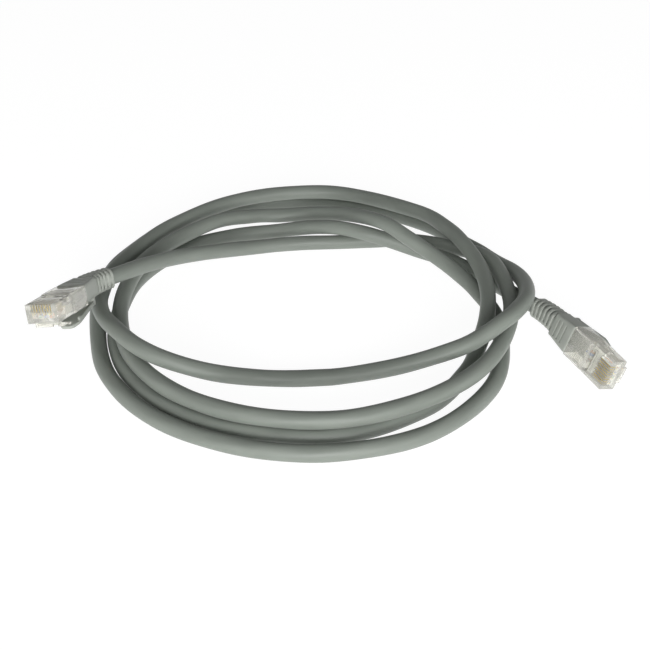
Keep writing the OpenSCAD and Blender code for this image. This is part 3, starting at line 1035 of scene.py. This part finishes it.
def make_cover(side, sizes, finish):
    """The snagless latch cover: plate, cheeks, grip bars and root."""
    cheek = [(1.5, 0), (12.2, 0), (12.2, 1.4), (11.8, 1.73), (11.4, 1.8), (10.9, 1.6),
             (10.4, 1.25), (1.5, 0.85)]
    bar = COVER_HALF_WIDTH - 1
    plate = eased(
        lambda b: drawn(b, cover_outline(), -COVER_THICKNESS / 2, COVER_THICKNESS / 2, "Z"), 0.14)
    parts = [eased(lambda b, x=x: drawn(b, cheek, x, x + CHEEK_WIDTH, "X"), 0.12)
             for x in (COVER_HALF_WIDTH - CHEEK_WIDTH, -COVER_HALF_WIDTH)]
    parts += [eased(lambda b, y=y: block(b, (-bar, bar), (y, y + 1), (-0.85, -0.4)), 0.16)
              for y in (5, 7.4, 9.8, 12.2)]
    parts += [solid(lambda b: pin_across(b, 0, 0, COVER_ROOT_RADIUS, 2 * COVER_HALF_WIDTH, 28))]
    cover = cut_and_joined(as_object(side + "_cover_moulding", plate), joins=parts)
    smooth(cover, 34)
    dressed(cover, finish)
    lean = Matrix.Translation(COVER_PIVOT) @ Matrix.Rotation(-sizes.cover_slope, 4, "X")
    fitted(cover, place(ENDS[side]) @ lean, side + "_cover", side + "_latch_cover")


def make_housing(side, plug, finish):
    """The clear housing with its pockets, window, slots and latch root."""
    w = plug.width / MM / 2
    nose, rear = plug.nose_height / MM / 2, plug.rear_height / MM / 2
    edge = plug.edge / MM
    outline = [(HOUSING_REAR, -rear), (DECK, -rear), (DECK, -nose), (NOSE, -nose),
               (NOSE, nose), (DECK, nose), (DECK, rear), (HOUSING_REAR, rear)]
    shell = eased(lambda b: drawn(b, outline, -w, w, "X"), edge)
    _, y, z = LATCH_PIVOT
    root = eased(lambda b: block(b, (-3.2, 3.2), (y, NOSE), (-4.7, -nose + 0.4)), edge * 0.8)

    def hollow(half, along, up, middle=0.0):
        return solid(lambda b: block(b, (middle - half, middle + half), along, up))

    # well past the housing's top, where a hollow is open
    beyond = 8
    socket = LATCH_ROOT_RADIUS + RUN_GAP
    cuts = [
        # pockets for the jacket, for the wire guide and for the wires' ends
        hollow(4.8, (HOUSING_REAR - 1, 32.8), (-3.15, 3.15)),
        hollow(4.75, (32.7, 38.7), (-2.3, 0.6)),
        hollow(4.15, (38.6, 43.9), (-1.8, 0.1)),
        # window of the crimp bar, and the recess over the wires' strain relief
        hollow(4.45, (28.6, 31.2), (3, beyond)),
        hollow(4.2, (35, 36.6), (1.4, beyond)),
        # socket of the latch's root, open behind and below
        solid(lambda b: pin_across(b, y, z, socket, 5.2, 24)),
        hollow(2.6, (y - 2, y), (z - 2, z + socket)),
    ]
    half = plug.blade / MM / 2 + RUN_GAP
    for pin in range(1, len(WIRES) + 1):
        x = (pin - MIDDLE_PIN) * plug.pitch / MM
        # a slot for each blade, open at the nose
        cuts.append(hollow(half, (38.8, 44.4), (-1.3, beyond), x))
        cuts.append(hollow(half, (44.3, NOSE + 1), (0.6, beyond), x))
    housing = cut_and_joined(as_object(side + "_clear_housing", shell), [root], cuts)
    smooth(housing)
    dressed(housing, finish)
    fitted(housing, place(ENDS[side]), "cable", side + "_plug_housing")


def make_latch(side, plug, finish):
    """The sprung latch: root, arm, shoulders, catch blocks and finger groove."""
    tip = -plug.latch_length / MM
    front, rear = -5.2, -8.2
    half = [(1.65, 0.0), (1.65, front), (3.0, front), (3.0, rear), (2.3, rear), (2.3, tip)]
    outline = half[::-1] + [(-x, y) for x, y in half]
    arm = eased(lambda b: drawn(b, outline, -LATCH_THICKNESS / 2, LATCH_THICKNESS / 2, "Z"), 0.13)
    catches = [eased(lambda b, x=x: block(b, (x, x + 1.3), (rear, front), (-0.95, 0.3)), 0.1)
               for x in (-3.0, 1.7)]
    root = solid(lambda b: pin_across(b, 0, 0, LATCH_ROOT_RADIUS, 5, 24))
    groove = solid(lambda b: pin_across(b, tip + 1.6, -0.6, 0.35, 10, 16))
    latch = cut_and_joined(as_object(side + "_clear_latch", arm), [*catches, root], [groove])
    smooth(latch)
    dressed(latch, finish)
    lean = Matrix.Translation(LATCH_PIVOT) @ Matrix.Rotation(plug.latch_slope, 4, "X")
    fitted(latch, place(ENDS[side]) @ lean, side + "_latch",
           side + "_latch")


def blade(name, settings, row):
    """One stamped contact blade with its two teeth, as a template for the row."""
    plug, wire = settings.plug, settings.cable.wire / MM / 2
    rear, front, notch_rear, notch_front = 39.2, 44.3, 41, 42.4
    top = plug.nose_height / MM / 2 - 0.45
    foot, notch = row + wire + 0.05, row + wire + 0.6
    outline = [(rear, foot), (notch_rear, foot), (notch_rear, notch), (notch_front, notch),
               (notch_front, foot), (front, foot), (front, top - 0.35), (front - 0.1, top - 0.1),
               (front - 0.35, top), (rear, top)]
    half = plug.blade / MM / 2
    return as_object(name, eased(lambda b: drawn(b, outline, -half, half, "X"), 0.04, 1))


def make_contacts(side, settings, finish):
    """The row of eight gold blades of one plug."""
    kinds = [blade("short_blade", settings, ROW_HEIGHT[0]),
             blade("long_blade", settings, ROW_HEIGHT[1])]
    row = grown(side + "_gold_blades", shared_tree("row of contact blades", contact_row_tree), {
        "Short Blade": kinds[0], "Long Blade": kinds[1], "Pitch": settings.plug.pitch / MM,
        "Pairs": len(WIRES) // 2, "Finish": finish})
    for kind in kinds:
        dropped(kind)
    smooth(row)
    fitted(row, place(ENDS[side]), "cable", side + "_contact_blades")


def make_jacket(settings):
    """The hollow jacket, swept along the hank and given its wall."""
    sizes = settings.cable
    line, _ = jacket_line(settings.boot)
    jacket = sheath("jacket", line, sizes.diameter / 2, sizes.sides,
                    jacket_finish(settings.colours),
                    {"Ripple": sizes.ripple, "Lay Length": sizes.lay_length})
    bm = bmesh.new()
    bm.from_mesh(jacket.data)
    bmesh.ops.recalc_face_normals(bm, faces=bm.faces)
    bm.to_mesh(jacket.data)
    bm.free()
    wall = jacket.modifiers.new("wall", "SOLIDIFY")
    wall.thickness = sizes.wall
    wall.offset = -1
    settled(jacket)
    fitted(jacket, Matrix.Identity(4), "cable", "cable_jacket")


def cross_outline(sizes):
    """The cross separator cut square, in metres: four arms with blunt tips."""
    air, bevel = 0.0002, 0.0001
    reach = sizes.diameter / 2 - sizes.wall - air
    blunt = reach - bevel
    half, inner = sizes.separator / 2, sizes.separator * math.sqrt(0.5)
    outline = []
    for k in range(4):
        between = math.pi / 2 * k
        arm = between + math.pi / 4
        outline.append((inner * math.cos(between), inner * math.sin(between)))
        for r, side in ((blunt, half), (reach, 0.45 * half), (reach, -0.45 * half),
                        (blunt, -half)):
            outline.append((r * math.cos(arm) + side * math.sin(arm),
                            r * math.sin(arm) - side * math.cos(arm)))
    return outline


def make_separator(settings):
    """The cross separator, swept along the hank."""
    outline = cross_outline(settings.cable)
    stops = every_other(list(zip(*jacket_line(settings.boot))))
    rings = [[centre + x * a + y * b for x, y in outline] for centre, (a, b) in stops]
    separator = as_object("separator", solid(lambda bm: lofted(bm, rings, False)))
    smooth(separator, 40)
    dressed(separator, separator_finish(settings.colours))
    fitted(separator, Matrix.Identity(4), "cable", "cross_separator")


def make_wire(pin, node, settings):
    """One insulated wire, with a stud of bare copper at each end."""
    sizes, colours, sides = settings.cable, settings.colours, 12
    # how far a stud is sunk into the insulation and stands out of it, in metres
    deep, proud = 0.0004, 0.00009
    slot = node.split("_", 2)[2]
    bare, finish = copper_finish(colours), insulation_finish(slot, colours)
    line = wire_line(pin, settings.plug, settings.boot)
    wire = sheath("insulation_" + node.split("_", 1)[1], line, sizes.wire / 2, sides, finish,
                  {"Closed Ends": True})
    joined = bmesh.new()
    joined.from_mesh(wire.data)
    for tip, back in ((line[0], line[1]), (line[-1], line[-2])):
        out = (tip - back).normalized()
        stud = sheath("stud", [tip - out * deep, tip + out * proud], sizes.copper / 2, sides,
                      bare, {"Closed Ends": True})
        before = len(joined.faces)
        joined.from_mesh(stud.data)
        joined.faces.ensure_lookup_table()
        for face in joined.faces[before:]:
            face.material_index = 1
        dropped(stud)
    bmesh.ops.recalc_face_normals(joined, faces=joined.faces)
    joined.to_mesh(wire.data)
    joined.free()
    dressed(wire, finish, bare)
    smooth(wire, 50)
    fitted(wire, Matrix.Identity(4), "cable", node)


# ---------------------------------------------------------------- operators

# The stage, in metres and radians.
CAMERA_PLACE = (-0.00198, -0.32582, 0.23159)
CAMERA_TILT = math.radians(54)
LAMP_AIM = Vector((0, 0, 0.01))
LAMP_SIZE = 0.6
TABLE_HALF = 3

# The camera's sensor, mm.
SENSOR_WIDTH = 36


class PATCH_CABLE_OT_stage(bpy.types.Operator):
    """Sets up the camera, the white table and the soft light"""

    bl_idname = "patch_cable.stage"
    bl_label = "Table, Light and Camera"

    def execute(self, context):
        scene, settings = context.scene, context.scene.patch_cable
        lens = bpy.data.cameras.new("camera")
        lens.lens = settings.lens
        lens.sensor_width = SENSOR_WIDTH
        camera = linked("camera", lens)
        camera.location = CAMERA_PLACE
        camera.rotation_euler = (CAMERA_TILT, 0, 0)
        scene.camera = camera
        scene.view_settings.view_transform = "Standard"

        # The room is white to the camera, dimmer in gloss and dimmest as light.
        world = bpy.data.worlds.new("room")
        scene.world = world
        world.use_nodes = True
        back = world.node_tree.nodes["Background"]
        back.inputs["Color"].default_value = (1, 1, 1, 1)
        n = Nodes(world.node_tree)
        shine = n.mix("FLOAT", seen_directly(n), settings.world_light, settings.world_shine)
        camera_ray = n.add("ShaderNodeLightPath").outputs["Is Camera Ray"]
        n.link(n.mix("FLOAT", camera_ray, shine, 1.0), back.inputs["Strength"])

        lamps = (
            ("front lamp", (0.08, -0.78, 0.17), settings.front_light),
            ("left lamp", (-0.75, -0.15, 0.22), settings.side_light),
            ("right lamp", (0.75, -0.15, 0.22), settings.side_light),
        )
        for name, at, power in lamps:
            light = bpy.data.lights.new(name, "AREA")
            light.shape = "DISK"
            light.size = LAMP_SIZE
            light.energy = power
            lamp = linked(name, light)
            lamp.location = at
            lamp.rotation_euler = (LAMP_AIM - Vector(at)).to_track_quat("-Z", "Y").to_euler()

        bm = bmesh.new()
        bmesh.ops.create_grid(bm, x_segments=1, y_segments=1, size=TABLE_HALF)
        table = as_object("table", bm)
        dressed(table, table_finish())
        return {"FINISHED"}


class PATCH_CABLE_OT_jacket(bpy.types.Operator):
    """Sweeps the jacket along the hank from plug to plug"""

    bl_idname = "patch_cable.jacket"
    bl_label = "Cable Jacket"

    def execute(self, context):
        make_jacket(context.scene.patch_cable)
        return {"FINISHED"}


class PATCH_CABLE_OT_separator(bpy.types.Operator):
    """Sweeps the cross separator that keeps the pairs apart"""

    bl_idname = "patch_cable.separator"
    bl_label = "Cross Separator"

    def execute(self, context):
        make_separator(context.scene.patch_cable)
        return {"FINISHED"}


class PATCH_CABLE_OT_wires(bpy.types.Operator):
    """Runs the eight insulated wires, with the copper showing at their ends"""

    bl_idname = "patch_cable.wires"
    bl_label = "Insulated Wires"

    def execute(self, context):
        for pin, node in enumerate(WIRES, 1):
            make_wire(pin, node, context.scene.patch_cable)
        return {"FINISHED"}


class PATCH_CABLE_OT_boots(bpy.types.Operator):
    """Makes the two ribbed boots"""

    bl_idname = "patch_cable.boots"
    bl_label = "Boots"

    def execute(self, context):
        settings = context.scene.patch_cable
        for side in ENDS:
            make_boot(side, settings.boot, boot_finish(settings.colours))
        return {"FINISHED"}


class PATCH_CABLE_OT_covers(bpy.types.Operator):
    """Makes the two snagless latch covers"""

    bl_idname = "patch_cable.covers"
    bl_label = "Latch Covers"

    def execute(self, context):
        settings = context.scene.patch_cable
        for side in ENDS:
            make_cover(side, settings.boot, boot_finish(settings.colours))
        return {"FINISHED"}


class PATCH_CABLE_OT_housings(bpy.types.Operator):
    """Makes the two clear plug housings"""

    bl_idname = "patch_cable.housings"
    bl_label = "Plug Housings"

    def execute(self, context):
        settings = context.scene.patch_cable
        for side in ENDS:
            make_housing(side, settings.plug, clear_finish(settings.colours))
        return {"FINISHED"}


class PATCH_CABLE_OT_latches(bpy.types.Operator):
    """Makes the two clear latches"""

    bl_idname = "patch_cable.latches"
    bl_label = "Latches"

    def execute(self, context):
        settings = context.scene.patch_cable
        for side in ENDS:
            make_latch(side, settings.plug, clear_finish(settings.colours))
        return {"FINISHED"}


class PATCH_CABLE_OT_contacts(bpy.types.Operator):
    """Sets the rows of eight gold contact blades"""

    bl_idname = "patch_cable.contacts"
    bl_label = "Contact Blades"

    def execute(self, context):
        settings = context.scene.patch_cable
        for side in ENDS:
            make_contacts(side, settings, gold_finish(settings.colours))
        return {"FINISHED"}


class PATCH_CABLE_OT_inner_parts(bpy.types.Operator):
    """Finishes the wire guides and crimp bars inside the plugs"""

    bl_idname = "patch_cable.inner_parts"
    bl_label = "Wire Guides and Crimp Bars"

    def execute(self, context):
        colours = context.scene.patch_cable.colours
        for side in ENDS:
            dressed(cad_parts[side + "_wire_guide"], guide_finish(colours))
            dressed(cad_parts[side + "_crimp_bar"], clear_finish(colours))
        return {"FINISHED"}


class PATCH_CABLE_PT_panel(bpy.types.Panel):
    """Lists the pieces of the patch cable"""

    bl_idname = "PATCH_CABLE_PT_panel"
    bl_label = "Patch Cable"
    bl_space_type = "VIEW_3D"
    bl_region_type = "UI"
    bl_category = "Patch Cable"

    def draw(self, context):
        layout, settings = self.layout, context.scene.patch_cable
        for group in (settings.cable, settings.plug, settings.boot, settings.colours):
            box = layout.box()
            for name in group.bl_rna.properties.keys():
                if name not in ("rna_type", "name"):
                    box.prop(group, name)
        for operator in OPERATORS:
            layout.operator(operator.bl_idname)


OPERATORS = (
    PATCH_CABLE_OT_stage, PATCH_CABLE_OT_jacket, PATCH_CABLE_OT_separator,
    PATCH_CABLE_OT_wires, PATCH_CABLE_OT_boots, PATCH_CABLE_OT_covers,
    PATCH_CABLE_OT_housings, PATCH_CABLE_OT_latches, PATCH_CABLE_OT_contacts,
    PATCH_CABLE_OT_inner_parts,
)
CLASSES = (CableSizes, PlugSizes, BootSizes, CableColours, PatchCable, *OPERATORS,
           PATCH_CABLE_PT_panel)


def register():
    """Registers the classes and the settings."""
    for each in CLASSES:
        bpy.utils.register_class(each)
    bpy.types.Scene.patch_cable = PointerProperty(type=PatchCable)


def unregister():
    """Removes the settings and the classes."""
    del bpy.types.Scene.patch_cable
    for each in reversed(CLASSES):
        bpy.utils.unregister_class(each)


def main():
    """Makes every piece in order."""
    register()
    work = bpy.ops.patch_cable
    work.stage()
    work.jacket()
    work.separator()
    work.wires()
    work.boots()
    work.covers()
    work.housings()
    work.latches()
    work.contacts()
    work.inner_parts()

    settings = bpy.context.scene.patch_cable
    line, _ = jacket_line(settings.boot)


if __name__ == "__main__":
    main()
